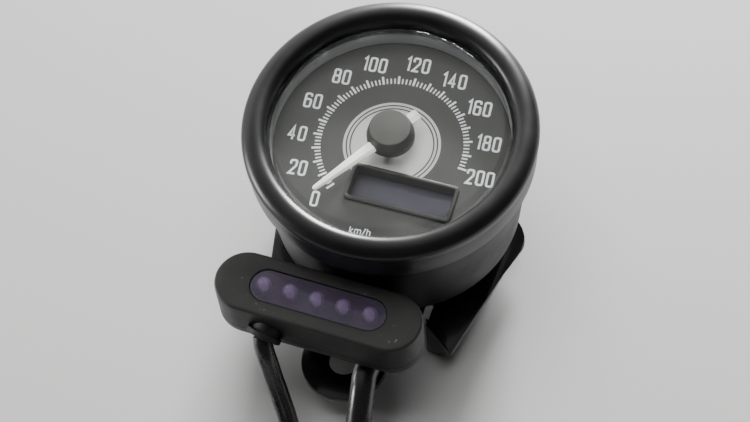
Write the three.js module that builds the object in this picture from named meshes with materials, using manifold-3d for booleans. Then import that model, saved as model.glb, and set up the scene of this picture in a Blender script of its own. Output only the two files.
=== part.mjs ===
// Motorcycle instrument cluster: a round electric speedometer with a stepper-driven pointer and a small
// display, on a folded steel bracket, with a pill-shaped box of five indicator lamps in front of it.
// Each piece has its own lead, with the spare length wound into a coil.
// Units are millimetres. All pieces are placed from the dial's centre: +Z is the way the dial faces,
// +Y is towards the 12 o'clock side, and the group at the end lifts the dial above the surface that the
// bracket's feet and the two studs stand on.
import * as THREE from "three";
import { mergeVertices } from "three/addons/utils/BufferGeometryUtils.js";
import { ConvexGeometry } from "three/addons/geometries/ConvexGeometry.js";
import Module from "manifold-3d";

// ---- Driving dimensions ----
const dialHeight = 38; // dial face above the surface that the cluster stands on
const dialForward = 7.87; // dial centre from the middle of the cluster's depth
const gap = 0.3; // clearance between neighbouring pieces
const roundSegments = 48; // facets round the large turned pieces
const smallSegments = 16; // facets round the small ones
const tinySegments = 12; // facets round screws and lamps

// Meter front
const bezelRadius = 30;
const bezelLipRadius = 24.9;
const bezelFoot = 5.1;
const bezelCrown = 8.6;
const bandRadius = 29.6;
const bandFoot = -0.6;
const lensRadius = 25.7;
const lensDomeRadius = 24.2;
const lensRim = { low: 3.2, high: 4.2 };
const lensRise = 4.3;
const lensThickness = 1.2;

// Dial, display and pointer
const dialRadius = 24.8;
const dialThickness = 0.8;
const dialTurn = 4; // degrees that the printing and the display are turned from the bracket's axis
const display = { x: 5.47, y: -10.04, width: 21.7, height: 7.9, corner: 1.2, wall: 0.8 };
const pointerLength = 19.8;
const pointerTail = 7;
const pointerHeight = { low: 4.2, high: 5.2 };
const pointerRest = THREE.MathUtils.degToRad(235.4); // where it points at zero speed, from +X
const hub = { radius: 4.87, topRadius: 4.1, low: 3.3, high: 6.8 };
const shaftRadius = 0.75;

// Case and what it holds
const caseTopRadius = 28.2;
const caseLowRadius = 26.7;
const caseFloor = -28.4;
const caseWall = 1.8;
const caseInside = caseFloor + 2; // upper face of its floor
const board = { radius: 23.4, low: -9.6, high: -8 };
const postRadius = 2.6;
const postCircle = 20;
const postAngles = [90, 210, 330].map(THREE.MathUtils.degToRad);

// Bracket and its fasteners
const plateTop = -30;
const sheet = 1.6;
const studX = 14;
const studY = 6;
const studRadius = 2.5;
const tabY = -35.7;
const tabRadius = 9;
const tabHoleRadius = 3.2;
const glandRadius = 3.2; // of the harness's sleeve where it goes through the case wall

// Indicator box
const lampBox = { x: -3.65, y: -35.4, top: -5, length: 42.7, width: 12.8, height: 10.5, wall: 1.6 };
const lampPitch = 5.65;
const lampCount = 5;
const lampRadius = 1.5;
const lampWindow = { length: 28.2, width: 6.6, depth: 0.9 };

const grommetRadius = 2.9;

// Stand that carries the box on the bracket
const standScrewX = [-9.5, -0.5];
const standScrewY = -30.3;

// Leads: diameters, and routes from the exit to the coil
const harness = {
  diameter: 5.2,
  exit: [7.4, -36.5, -20],
  route: [
    [7.4, -36.5, -20],
    [7.3, -38.8, -20.2],
    [7.1, -41.2, -20.7],
    [7.6, -44.3, -21.6],
    [8.1, -47.2, -23.2],
    [8.5, -50.2, -25.4],
    [8.6, -53.8, -28.1],
    [8.4, -58, -31.1],
    [8.2, -63, -33.8],
    [8.1, -69, -35.2],
    [8, -75.7, -35.4],
  ],
};
const lead = {
  diameter: 4,
  outlet: [-14.2, -11.3], // where its grommet goes through the indicator box's front wall
  direction: new THREE.Vector3(0.33, -0.8, -0.5).normalize(),
  route: [
    [-13.3, -44.2, -12.6],
    [-12.9, -45, -13.2],
    [-12.1, -45.8, -14.5],
    [-11.4, -46.5, -16.2],
    [-10.7, -47.3, -18.2],
    [-9.9, -48.1, -20.6],
    [-9, -49, -23.1],
    [-8.1, -50, -25.7],
    [-7.1, -51.1, -28.1],
    [-6, -52.6, -30.4],
    [-4.6, -55.2, -32.9],
    [-3, -59.2, -35],
    [-1.7, -64.8, -35.9],
    [-0.6, -71.5, -36],
    [-0.1, -79, -36],
    [0, -86.7, -36],
  ],
};
const harnessCoil = { x: 36.6, y: -76, radius: 26, plug: THREE.MathUtils.degToRad(318) };
const leadCoil = { x: -22, y: -87, radius: 20, plug: THREE.MathUtils.degToRad(-128) };
const harnessPlug = { length: 22, width: 12, height: 8.2 };
const leadPlug = { length: 14, width: 8.6, height: 6.2 };

// ---- Solids ----
const wasm = await Module();
wasm.setup();

function bare(geometry) {
  const copy = geometry.clone();
  copy.deleteAttribute("normal");
  copy.deleteAttribute("uv");
  return mergeVertices(copy, 1e-4);
}

function solid(geometry) {
  const merged = bare(geometry);
  const triVerts = new Uint32Array(merged.index.array);
  const vertProperties = new Float32Array(merged.attributes.position.array);
  const made = new wasm.Manifold(new wasm.Mesh({ numProp: 3, vertProperties, triVerts }));
  if (made.volume() >= 0) return made;
  for (let i = 0; i < triVerts.length; i += 3) {
    const swap = triVerts[i];
    triVerts[i] = triVerts[i + 1];
    triVerts[i + 1] = swap;
  }
  return new wasm.Manifold(new wasm.Mesh({ numProp: 3, vertProperties, triVerts }));
}

function geometryOf(manifold) {
  const mesh = manifold.getMesh();
  const geometry = new THREE.BufferGeometry();
  geometry.setAttribute("position", new THREE.BufferAttribute(new Float32Array(mesh.vertProperties), 3));
  geometry.setIndex(new THREE.BufferAttribute(new Uint32Array(mesh.triVerts), 1));
  geometry.computeVertexNormals();
  return geometry;
}

const cut = (from, ...tools) => tools.reduce((left, tool) => left.subtract(tool), from);
const join = (first, ...others) => others.reduce((whole, other) => whole.add(other), first);

// A closed profile of [radius, height] points turned about the Z axis.
function turned(profile, segments = roundSegments) {
  const points = profile.map(([r, z]) => new THREE.Vector2(r, z));
  const closed = profile[0][0] === 0 ? points : [...points, points[0]];
  return solid(new THREE.LatheGeometry(closed, segments).rotateX(Math.PI / 2));
}

function ring(inner, outer, low, high, segments = roundSegments) {
  return turned([[inner, low], [outer, low], [outer, high], [inner, high]], segments);
}

function disc(radius, low, high, segments = roundSegments) {
  return turned([[0, low], [radius, low], [radius, high], [0, high]], segments);
}

function prism(shape, low, high, curveSegments = 8) {
  const options = { depth: high - low, bevelEnabled: false, curveSegments };
  return solid(new THREE.ExtrudeGeometry(shape, options).translate(0, 0, low));
}

function outline(points) {
  return new THREE.Shape(points.map(([x, y]) => new THREE.Vector2(x, y)));
}

function roundedShape(width, height, corner, x = 0, y = 0) {
  const w = width / 2 - corner;
  const h = height / 2 - corner;
  const shape = new THREE.Shape();
  shape.absarc(x + w, y + h, corner, 0, Math.PI / 2);
  shape.absarc(x - w, y + h, corner, Math.PI / 2, Math.PI);
  shape.absarc(x - w, y - h, corner, Math.PI, 1.5 * Math.PI);
  shape.absarc(x + w, y - h, corner, 1.5 * Math.PI, 2 * Math.PI);
  shape.closePath();
  return shape;
}

function block(x0, x1, y0, y1, z0, z1) {
  const box = new THREE.BoxGeometry(x1 - x0, y1 - y0, z1 - z0);
  return solid(box.translate((x0 + x1) / 2, (y0 + y1) / 2, (z0 + z1) / 2));
}

// Points on an arc in a profile, from one angle to another.
function arc(r, z, radiusR, radiusZ, from, to, steps) {
  const points = [];
  for (let i = 0; i <= steps; i += 1) {
    const angle = from + ((to - from) * i) / steps;
    points.push([r + radiusR * Math.cos(angle), z + radiusZ * Math.sin(angle)]);
  }
  return points;
}

function tube(points, diameter, steps, sides) {
  const places = points.map((p) => new THREE.Vector3(...p));
  const path = new THREE.CatmullRomCurve3(places, false, "centripetal");
  const section = new THREE.Shape();
  for (let i = 0; i < sides; i += 1) {
    const angle = ((i + 0.5) * 2 * Math.PI) / sides;
    const place = [(diameter / 2) * Math.cos(angle), (diameter / 2) * Math.sin(angle)];
    if (i === 0) section.moveTo(...place);
    else section.lineTo(...place);
  }
  section.closePath();
  return solid(new THREE.ExtrudeGeometry(section, { steps, extrudePath: path }));
}

// ---- Materials ----
const paint = (color, roughness, metalness = 0) =>
  new THREE.MeshStandardMaterial({ color, roughness, metalness });
const blackPlastic = paint(0x1b1b1b, 0.42);
const bezelBlack = paint(0x141416, 0.28);
const rubber = paint(0x121212, 0.8);
const blackSteel = paint(0x0c0c0d, 0.25, 0.4);
const zinc = paint(0xb9bcc0, 0.35, 1);
const dialGrey = paint(0x3a3b39, 0.6);
const frameGrey = paint(0x4c4d4a, 0.5);
const displayGlass = paint(0x645f72, 0.15);
const pointerWhite = paint(0xe6e2d4, 0.5);
const hubGrey = paint(0x5f5e58, 0.55);
const seeThrough = (color, opacity) =>
  new THREE.MeshStandardMaterial({ color, roughness: 0.05, transparent: true, opacity });
const clear = seeThrough(0xe8ecef, 0.3);
const violet = seeThrough(0x8c7fb8, 0.45);
const lampViolet = paint(0x5d4f86, 0.2);
const boardGreen = paint(0x1f5a38, 0.5);
const whitePlastic = paint(0xdedbd2, 0.5);
const trimGrey = paint(0x8a8c8a, 0.4);
const foam = paint(0x2a2a2a, 0.95);
const plugBlack = paint(0x202020, 0.5);

// ---- The scene ----
const cluster = new THREE.Group();
cluster.position.set(0, dialForward, dialHeight);

function add(name, made, material) {
  const mesh = new THREE.Mesh(geometryOf(made), material);
  mesh.name = name;
  cluster.add(mesh);
}

function addMeterFront() {
  const crownMiddle = (bezelRadius + bezelLipRadius) / 2;
  const crownWidth = (bezelRadius - bezelLipRadius) / 2;
  const crownRise = bezelCrown - 6.1;
  const crown = arc(crownMiddle, 6.1, crownWidth, crownRise, 0, Math.PI, 7);
  add("bezel", turned([[bezelLipRadius, bezelFoot], [bandRadius, bezelFoot], ...crown]), bezelBlack);

  const seatRadius = 26;
  const ledge = [[23.8, -3.5], [23.8, -1.1], [25.1, -1.1], [25.1, 0.2], [seatRadius, 0.2]];
  const band = [[seatRadius, bezelFoot - gap], [bandRadius, bezelFoot - gap], [bandRadius, bandFoot]];
  add("front_case", turned([[26.1, bandFoot], [26.1, -3.5], ...ledge, ...band]), blackPlastic);

  // The lens stands up steeply at its edge and flattens over the dial, like a watch crystal.
  const outer = [];
  const inner = [];
  for (const share of [0, 0.4, 0.68, 0.85, 0.95, 1]) {
    const r = lensDomeRadius * share;
    const z = lensRim.high + lensRise * (1 - share ** 3) ** 0.6;
    outer.push([r, z]);
    inner.push([r, Math.max(z - lensThickness, lensRim.low)]);
  }
  const rim = [[lensRadius, lensRim.high], [lensRadius, lensRim.low]];
  add("lens", turned([...outer, ...rim, ...inner.reverse()]), clear);
  add("lens_gasket", ring(24.5, lensRadius, 4.45, 4.8), rubber);
  add("trim_ring", turned([[23.6, 0.5], [lensRadius, 0.5], [lensRadius, 2.9], [24.3, 2.9]]), trimGrey);
}

function addDialAndDisplay() {
  const { x, y, width, height, corner, wall } = display;
  const upright = (narrower, round, low, high) => {
    const shape = roundedShape(width - narrower, height - narrower, round);
    return prism(shape, low, high, 3).rotate([0, 0, dialTurn]).translate([x, y, 0]);
  };
  const opening = upright(0.8, corner - 0.3, -5, 5);
  const dial = disc(dialRadius, -dialThickness, 0);
  add("dial", cut(dial, opening, disc(1.6, -5, 5, smallSegments)), dialGrey);

  const through = 2 * (0.4 + gap);
  const flange = upright(0, corner, gap, 0.8);
  const barrel = upright(through, corner - 0.6, -2, 0.5);
  add("display_frame", cut(join(flange, barrel), upright(through + 2 * wall, 0.4, -5, 5)), frameGrey);
  add("display_module", upright(0, 0.3, -4, -2.3), displayGlass);
}

function addPointer() {
  const turn = new THREE.Matrix4().makeRotationZ(pointerRest);
  const place = (made) => made.transform(turn.elements);
  const { low, high } = pointerHeight;
  const bladeShape = [[2, -1.35], [pointerLength, -0.4], [pointerLength, 0.4], [2, 1.35]];
  const tailShape = [[-2, 1.3], [-pointerTail, 1.2], [-pointerTail, -1.2], [-2, -1.3]];
  const blade = prism(outline(bladeShape), low, high);
  const tail = prism(outline(tailShape), low, high);
  const boss = ring(shaftRadius + gap, 3.3, low, high, smallSegments);
  const bore = disc(shaftRadius + gap, low - 1, high + 1, smallSegments);
  add("pointer", place(cut(join(boss, blade, tail), bore)), pointerWhite);

  const side = [[hub.radius, hub.low], [hub.radius, 5.7], [4.72, 6.3], [hub.topRadius, hub.high]];
  const cap = turned([[0, hub.low], ...side, [0, hub.high + 0.15]], 32);
  const roof = high + gap;
  const pocket = disc(3.6, 3, roof, smallSegments);
  const slot = block(-8, 8, -1.75, 1.75, 3, roof);
  add("hub_cap", place(cut(cap, pocket, slot)), hubGrey);
  add("pointer_shaft", disc(shaftRadius, -13.5, high - 0.1, tinySegments), zinc);
}

function addMovement() {
  add("light_guide", ring(2.2, 17.6, -7.4, -4.8, 32), whitePlastic);

  const holes = postAngles.map((a) =>
    disc(1.1, -12, -5, tinySegments).translate([postCircle * Math.cos(a), postCircle * Math.sin(a), 0]),
  );
  const centreHole = disc(1.8, -12, -5, tinySegments);
  add("circuit_board", cut(disc(board.radius, board.low, board.high), centreHole, ...holes), boardGreen);
  postAngles.forEach((a, i) => {
    const thread = disc(0.8, -14, board.high + 0.5, tinySegments);
    const screw = join(thread, disc(1.9, board.high + gap, board.high + 1.6, tinySegments));
    const x = postCircle * Math.cos(a);
    const y = postCircle * Math.sin(a);
    add(`board_screw_${i + 1}`, screw.translate([x, y, 0]), zinc);
  });

  const motorShape = roundedShape(24, 20, 6, 0, 2);
  const motor = cut(
    prism(motorShape, -18.4, board.low - gap, 5),
    disc(shaftRadius + gap, -13.8, -5, tinySegments),
  );
  add("stepper_motor", motor, blackPlastic);
  add("controller_chip", block(-10, -3, -19, -12, -11.2, board.low - gap), blackPlastic);
  add("board_connector", block(1, 13, -18, -12, -15.5, board.low - gap), whitePlastic);
}

function addRearCase() {
  const outer = [[0, caseFloor], [22, caseFloor], [24.6, -27.6], [26.2, -25.6], [caseLowRadius, -23]];
  const mouth = [[caseTopRadius, bandFoot - gap], [26.4, bandFoot - gap], [26.4, -4]];
  const inner = [[caseLowRadius - caseWall, -22.5], [22.5, caseInside], [0, caseInside]];
  let shell = turned([...outer, ...mouth, ...inner]);
  for (const a of postAngles) {
    const pilot = disc(1.1, -14.5, -5, tinySegments);
    const post = cut(disc(postRadius, caseFloor + 1, board.low - gap, tinySegments), pilot);
    shell = shell.add(post.translate([postCircle * Math.cos(a), postCircle * Math.sin(a), 0]));
  }
  for (const side of [-1, 1]) {
    const hole = disc(studRadius + gap, -35, -20, smallSegments);
    shell = shell.subtract(hole.translate([side * studX, studY, 0]));
  }
  const outlet = disc(glandRadius + gap, -12, 12, smallSegments).rotate([90, 0, 0]);
  const [outletX, , outletZ] = harness.exit;
  add("rear_case", shell.subtract(outlet.translate([outletX, -26, outletZ])), blackPlastic);
}

function hexagon(acrossFlats, low, high) {
  const points = [];
  for (let i = 0; i < 6; i += 1) {
    const angle = (i * Math.PI) / 3;
    const corner = acrossFlats / Math.sqrt(3);
    points.push([corner * Math.cos(angle), corner * Math.sin(angle)]);
  }
  return prism(outline(points), low, high);
}

function addStudsAndNuts() {
  const plateFoot = plateTop - sheet;
  const bore = studRadius + gap;
  for (const [side, name] of [[-1, "left"], [1, "right"]]) {
    const at = (made) => made.translate([side * studX, studY, 0]);
    const headLow = caseInside + gap;
    const head = disc(4, headLow, headLow + 1.3, smallSegments);
    const stud = join(disc(studRadius, -dialHeight, headLow + 0.7, smallSegments), head);
    add(`stud_${name}`, at(stud), zinc);
    add(`damper_${name}`, at(ring(bore, 6.5, plateTop + gap, caseFloor - gap, smallSegments)), rubber);
    add(`washer_${name}`, at(ring(bore, 5, plateFoot - gap - 1, plateFoot - gap, smallSegments)), zinc);
    const nutTop = plateFoot - 2 * gap - 1;
    const nutBore = disc(bore, nutTop - 5, nutTop + 1, smallSegments);
    add(`nut_${name}`, at(cut(hexagon(8, nutTop - 4, nutTop), nutBore)), zinc);
  }
}

// Half of the bracket's outline, from the middle of its back edge round to the tab's side.
function bracketHalf() {
  const half = [[0, 14], [16, 14], [20.5, 11]];
  half.push(...arc(22.6, 1.4, 4.7, 4.7, Math.PI / 3, -0.25, 6));
  half.push([23.1, -14.4], [20.2, -27.2], [19.5, -27.1], [13.4, -22.9], [13.7, -22.4]);
  half.push(...arc(12.85, -18.45, 0.85, 0.85, 0, Math.PI, 4));
  half.push([12, -24], [9, -29.5]);
  half.push(...arc(0, tabY, tabRadius, tabRadius, 0.25, -Math.PI / 2, 9));
  return half;
}

function addBracket() {
  const right = bracketHalf();
  const left = right.slice(1, -1).map(([x, y]) => [-x, y]).reverse();
  const plan = prism(outline([...right, ...left]), -50, -20);

  // The sheet's section across the width: flat, with both ends curled down.
  const bendX = 22.5;
  const bendRadius = 6;
  const bendAngle = 0.9;
  const bendPoints = (side, radius, from, to) =>
    arc(bendX, plateTop - bendRadius, radius, radius, from, to, 5).map(([x, z]) => [side * x, z]);
  const top = bendPoints(1, bendRadius, Math.PI / 2 - bendAngle, Math.PI / 2);
  const under = bendPoints(1, bendRadius - sheet, Math.PI / 2, Math.PI / 2 - bendAngle);
  const mirrored = (points) => points.map(([x, z]) => [-x, z]).reverse();
  const section = outline([...top, ...mirrored(top), ...mirrored(under), ...under]);
  const strip = new THREE.ExtrudeGeometry(section, { depth: 80, bevelEnabled: false });
  strip.rotateX(Math.PI / 2).translate(0, 30, 0);
  let plate = plan.intersect(solid(strip));

  plate = plate.subtract(disc(tabHoleRadius, -40, -20, smallSegments).translate([0, tabY, 0]));
  for (const side of [-1, 1]) {
    const hole = disc(studRadius + gap, -40, -20, smallSegments);
    plate = plate.subtract(hole.translate([side * studX, studY, 0]));
    // A flange folded down along the slanting front edge is the corner's foot.
    const root = [[13.5, -22.9, plateTop], [19.9, -27, plateTop]];
    const face = [...root, [18.2, -25.2, -dialHeight], [14.2, -25.2, -dialHeight]];
    const corners = face.flatMap(([x, y, z]) => [[x, y, z], [x - 0.6, y + sheet + 0.2, z]]);
    const flange = new ConvexGeometry(corners.map(([x, y, z]) => new THREE.Vector3(side * x, y, z)));
    plate = plate.add(solid(flange));
  }
  for (const x of standScrewX) {
    plate = plate.subtract(disc(1.6, -40, -20, tinySegments).translate([x, standScrewY, 0]));
  }
  add("bracket", plate, blackSteel);
}

function addIndicator() {
  const { x, y, top, length, width, height, wall } = lampBox;
  const foot = top - height;
  const stadium = (inset, low, high, steps = 8) =>
    prism(roundedShape(length - 2 * inset, width - 2 * inset, width / 2 - inset, x, y), low, high, steps);
  const windowShape = (inset) => {
    const across = lampWindow.width - 2 * inset;
    return roundedShape(lampWindow.length - 2 * inset, across, across / 2, x, y);
  };

  const front = y - width / 2;
  const [outletX, outletZ] = lead.outlet;
  const hole = disc(grommetRadius + gap, -4, 4, smallSegments).rotate([90, 0, 0]);
  const outlet = hole.translate([outletX, front, outletZ]);
  const shell = cut(
    stadium(0, foot, top),
    stadium(wall, foot - 1, top - wall),
    prism(windowShape(0.4), -12, 0, 5),
    prism(windowShape(-gap), top - lampWindow.depth, 0, 5),
    outlet,
  );
  add("indicator_housing", shell, blackPlastic);
  add("indicator_lens", prism(windowShape(0), top - lampWindow.depth + gap, top - 0.1, 5), violet);

  const boardTop = top - 6;
  add("indicator_board", stadium(wall + gap, boardTop - 1.2, boardTop, 6), boardGreen);
  for (let i = 0; i < lampCount; i += 1) {
    const lampX = x + (i - (lampCount - 1) / 2) * lampPitch;
    const low = boardTop + gap;
    const flange = [[0, low], [1.8, low], [1.8, low + 0.8], [lampRadius, low + 0.8]];
    const dome = arc(0, top - 3.2, lampRadius, lampRadius, 0, 0.45 * Math.PI, 3);
    const lamp = turned([...flange, ...dome, [0, top - 3.2 + lampRadius]], tinySegments);
    add(`lamp_${i + 1}`, lamp.translate([lampX, y, 0]), lampViolet);
  }
  add("indicator_cover", stadium(wall + gap, foot, foot + 1.4, 6), blackPlastic);

  // The grommet's collar leans the way the lead leaves it.
  const lean = new THREE.Matrix4().makeRotationFromQuaternion(
    new THREE.Quaternion().setFromUnitVectors(new THREE.Vector3(0, 0, 1), lead.direction),
  );
  const leaning = (made) => made.transform(lean.elements);
  const collar = leaning(join(disc(3.5, -4, 1.5, smallSegments), disc(3, 1.4, 2.3, smallSegments)));
  const outside = collar.subtract(block(-9, 9, 0, 9, -9, 9));
  const plug = disc(grommetRadius, -wall - gap, 0.1, smallSegments).rotate([90, 0, 0]);
  const bore = leaning(disc(lead.diameter / 2 + gap, -0.5, 5, smallSegments));
  const grommet = join(outside, plug).subtract(bore);
  add("indicator_grommet", grommet.translate([outletX, front - gap, outletZ]), rubber);

  // The stand carries the box in front of the meter on the bracket's middle strip.
  const shelfTop = foot - gap - 0.7;
  const standX = (standScrewX[0] + standScrewX[1]) / 2;
  add("adhesive_pad", prism(roundedShape(14, 9, 1, standX, y), shelfTop + gap, foot - gap, 3), foam);
  const wallBlock = block(standX - 7, standX + 7, -32, -28.6, plateTop + gap, shelfTop - 0.8);
  const shelf = prism(roundedShape(15, 10, 1.5, standX, -34.2), shelfTop - 1.5, shelfTop, 3);
  const pilot = disc(1.1, -32, -22, tinySegments);
  const pilots = standScrewX.map((sx) => pilot.translate([sx, standScrewY, 0]));
  const stand = cut(join(wallBlock, shelf), ...pilots);
  add("indicator_stand", stand, blackPlastic);
  standScrewX.forEach((sx, i) => {
    const plateFoot = plateTop - sheet;
    const head = disc(2.4, plateFoot - gap - 1.5, plateFoot - gap, tinySegments);
    const screw = join(disc(0.8, plateFoot - 1, -22.3, tinySegments), head);
    add(`stand_screw_${i + 1}`, screw.translate([sx, standScrewY, 0]), zinc);
  });
}

// A wound coil's outer shape: two turns side by side with one on top, and room there for its plug.
function coilRing({ x, y, radius, plug }, diameter, plugSize) {
  const layer = diameter * Math.sin(Math.PI / 3);
  const top = -dialHeight + diameter + layer;
  const half = diameter / 2;
  const shoulder = -dialHeight + diameter;
  const section = [
    [radius - diameter, -dialHeight],
    [radius + diameter, -dialHeight],
    [radius + diameter, shoulder],
    [radius + half, top],
    [radius - half, top],
    [radius - diameter, shoulder],
  ];
  const reach = plugSize.length / 2 + gap;
  const room = block(-plugSize.width, plugSize.width, -reach, reach, shoulder + 0.1, 0);
  const placed = room.translate([radius, 0, 0]).rotate([0, 0, THREE.MathUtils.radToDeg(plug)]);
  return cut(turned(section, 30), placed).translate([x, y, 0]);
}

function plugBody({ x, y, radius, plug }, diameter, size) {
  const low = -dialHeight + diameter + 2 * gap;
  const roof = low + size.height;
  const body = prism(roundedShape(size.width, size.length, 1), low, roof, 2);
  const half = size.width / 5;
  const latch = block(-half, half, -size.length / 3, size.length / 4, roof - 0.1, roof + 1.4);
  const placed = join(body, latch).translate([radius, 0, 0]);
  return placed.rotate([0, 0, THREE.MathUtils.radToDeg(plug)]).translate([x, y, 0]);
}

// The straight stretch of a lead and the coil that it runs into, which has a groove for it.
function addLead(name, { diameter, route }, coil, plugSize, steps, sides) {
  const [endX, endY, endZ] = route.at(-1);
  const groove = tube([...route, [endX, endY - gap, endZ]], diameter + 2 * gap, steps, sides);
  add(`${name}_lead`, tube(route, diameter, steps, sides), rubber);
  add(`${name}_coil`, cut(coilRing(coil, diameter, plugSize), groove), rubber);
}

function addLeads() {
  const boreRadius = harness.diameter / 2 + gap;
  const collar = [[glandRadius, 0], [4.2, 0], [4.2, 1.8], [4, 1.8], [3.3, 9.2], [boreRadius, 9.2]];
  const gland = turned([[boreRadius, -3], [glandRadius, -3], ...collar], smallSegments);
  const [hx, , hz] = harness.exit;
  add("harness_gland", gland.rotate([90, 0, 0]).translate([hx, -27, hz]), rubber);

  const bend = [[hx - 0.2, -18.6, -19.4], [hx - 0.4, -15, -17.6], [hx - 0.4, -15, -15.9]];
  add("inner_lead", tube([[hx, -26, hz], [hx, -22.5, hz], ...bend], 3.6, 8, 8), rubber);

  addLead("harness", harness, harnessCoil, harnessPlug, 16, 8);
  addLead("indicator", lead, leadCoil, leadPlug, 20, 8);
  add("harness_plug", plugBody(harnessCoil, harness.diameter, harnessPlug), plugBlack);
  add("indicator_plug", plugBody(leadCoil, lead.diameter, leadPlug), plugBlack);
}

addMeterFront();
addDialAndDisplay();
addPointer();
addMovement();
addRearCase();
addStudsAndNuts();
addBracket();
addIndicator();
addLeads();

const part = new THREE.Group();
part.add(cluster);
export default part;
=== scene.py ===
# Motorcycle instrument cluster: the looks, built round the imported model.
from math import asin, atan, copysign, cos, degrees, pi, radians, sin, sqrt, tan

import bmesh
import bpy
from mathutils import Matrix, Vector


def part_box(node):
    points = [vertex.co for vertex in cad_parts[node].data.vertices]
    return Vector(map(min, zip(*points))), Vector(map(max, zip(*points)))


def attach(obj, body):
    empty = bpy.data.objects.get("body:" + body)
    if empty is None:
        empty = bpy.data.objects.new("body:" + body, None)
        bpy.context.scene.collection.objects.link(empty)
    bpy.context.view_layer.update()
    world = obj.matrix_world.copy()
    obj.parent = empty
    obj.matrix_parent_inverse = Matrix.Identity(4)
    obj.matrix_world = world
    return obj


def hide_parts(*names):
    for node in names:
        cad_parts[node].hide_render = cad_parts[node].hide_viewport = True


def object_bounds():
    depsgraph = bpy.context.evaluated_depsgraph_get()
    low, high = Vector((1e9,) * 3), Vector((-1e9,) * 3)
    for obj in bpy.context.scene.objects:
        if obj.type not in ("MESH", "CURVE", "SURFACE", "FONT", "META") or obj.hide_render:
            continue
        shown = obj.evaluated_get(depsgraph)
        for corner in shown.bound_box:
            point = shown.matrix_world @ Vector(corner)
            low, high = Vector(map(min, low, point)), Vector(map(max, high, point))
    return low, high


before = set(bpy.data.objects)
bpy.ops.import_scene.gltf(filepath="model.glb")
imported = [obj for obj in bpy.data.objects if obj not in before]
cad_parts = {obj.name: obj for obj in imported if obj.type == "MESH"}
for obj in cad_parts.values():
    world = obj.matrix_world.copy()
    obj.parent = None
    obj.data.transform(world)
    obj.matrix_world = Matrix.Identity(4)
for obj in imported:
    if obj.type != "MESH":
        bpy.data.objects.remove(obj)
cad_low, cad_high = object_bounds()

# ---- Frame ----
# Sizes in this script are in millimetres from the dial's centre: +Z is the way the dial faces and +Y is
# towards its 12 o'clock side.
MM = 0.001
METER = "meter"
NEEDLE = "needle"
dial_low, dial_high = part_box("dial")
DIAL = Vector(((dial_low.x + dial_high.x) / 2, (dial_low.y + dial_high.y) / 2, dial_high.z))
FLOOR = (cad_low.z - DIAL.z) / MM


def at(x, y, z):
    return DIAL + Vector((x, y, z)) * MM


# ---- Sizes that several pieces share ----
# Most are the CAD's. The display and the pointer's rest were measured again.
ROUND = 144  # facets round the large turned pieces
SMALL = 48  # facets round the small ones
BEZEL_RADIUS = 30
BEZEL_LIP = 24.9
BEZEL_FOOT = 5.1
BEZEL_CROWN = 8.6
BAND_RADIUS = 29.6
LENS_RADIUS = 25.7  # of its flange
DIAL_TURN = radians(1.5)  # the display is turned from the bracket's axis
DISPLAY = {"x": 5.5, "y": -10.15, "width": 22.3, "height": 8.4}
ZERO_ANGLE = radians(235.4)  # the scale's first mark
STEP_ANGLE = radians(-3)  # from one mark to the next, 2.5 km/h
REST_ANGLE = radians(237.4)  # where the pointer rests, just short of the first mark
CASE_FLOOR = -28.4
PLATE_TOP = -30
SHEET = 1.6
STUD_X = 14
STUD_Y = 6
TAB_Y = -35.7
TAB_RADIUS = 9
TAB_HOLE = 3.2
LAMP_BOX = {"x": -3.75, "y": -35.45, "top": -5, "length": 43.4, "width": 13.1, "height": 10.5}
LAMP_PITCH = 5.65
LAMP_WINDOW = {"length": 28.4, "width": 7.0, "y": LAMP_BOX["y"] + 0.15}
SIDES = ((-1, "left"), (1, "right"))


# ---- Mesh tools ----
WELD = 0.002  # points closer than this are merged


def in_scene(name, data):
    made = bpy.data.objects.new(name, data)
    bpy.context.scene.collection.objects.link(made)
    return made


def mesh_from(name, shape, weld=0.0):
    """A mesh in its place, from a shape's points and faces. It turns the faces outwards."""
    points, faces = shape
    mesh = bpy.data.meshes.new(name)
    mesh.from_pydata([at(*p) for p in points], [], faces)
    work = bmesh.new()
    work.from_mesh(mesh)
    if weld:
        bmesh.ops.remove_doubles(work, verts=work.verts, dist=weld * MM)
    bmesh.ops.recalc_face_normals(work, faces=work.faces)
    work.to_mesh(mesh)
    work.free()
    return mesh


def shade(mesh, sharp=35):
    """Smooth shading, but for edges that turn by more than sharp degrees."""
    mesh.shade_smooth()
    mesh.set_sharp_from_angle(angle=radians(sharp))


def object_from(name, shape, material, replaces=None, body=METER, sharp=35):
    return dress(name, mesh_from(name, shape, WELD), material, replaces, body, sharp)


def dress(name, mesh, material, replaces=None, body=METER, sharp=35):
    """A piece of the object made from a mesh: its material, its shading, its body and what it replaces."""
    piece = in_scene(name, mesh)
    mesh.materials.append(material)
    shade(mesh, sharp)
    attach(piece, body)
    if replaces:
        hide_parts(replaces)
    return piece


def loft(rings, closed=False):
    """Points and faces of a skin over rings of the same number of points, with flat ends."""
    count = len(rings[0])
    points = [p for ring in rings for p in ring]
    faces = []
    for i in range(len(rings) if closed else len(rings) - 1):
        a = i * count
        b = ((i + 1) % len(rings)) * count
        for j in range(count):
            k = (j + 1) % count
            faces.append((a + j, a + k, b + k, b + j))
    if not closed:
        faces.append(tuple(reversed(range(count))))
        faces.append(tuple(range(len(points) - count, len(points))))
    return points, faces


def circle(radius, z, x=0.0, y=0.0, segments=ROUND):
    turn = 2 * pi / segments
    angles = [i * turn for i in range(segments)]
    return [(x + radius * cos(a), y + radius * sin(a), z) for a in angles]


def turned(profile, x=0.0, y=0.0, segments=ROUND, closed=True):
    """A profile of (radius, height) points turned about the Z axis. An open one gets flat ends."""
    return loft([circle(r, z, x, y, segments) for r, z in profile], closed)


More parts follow.
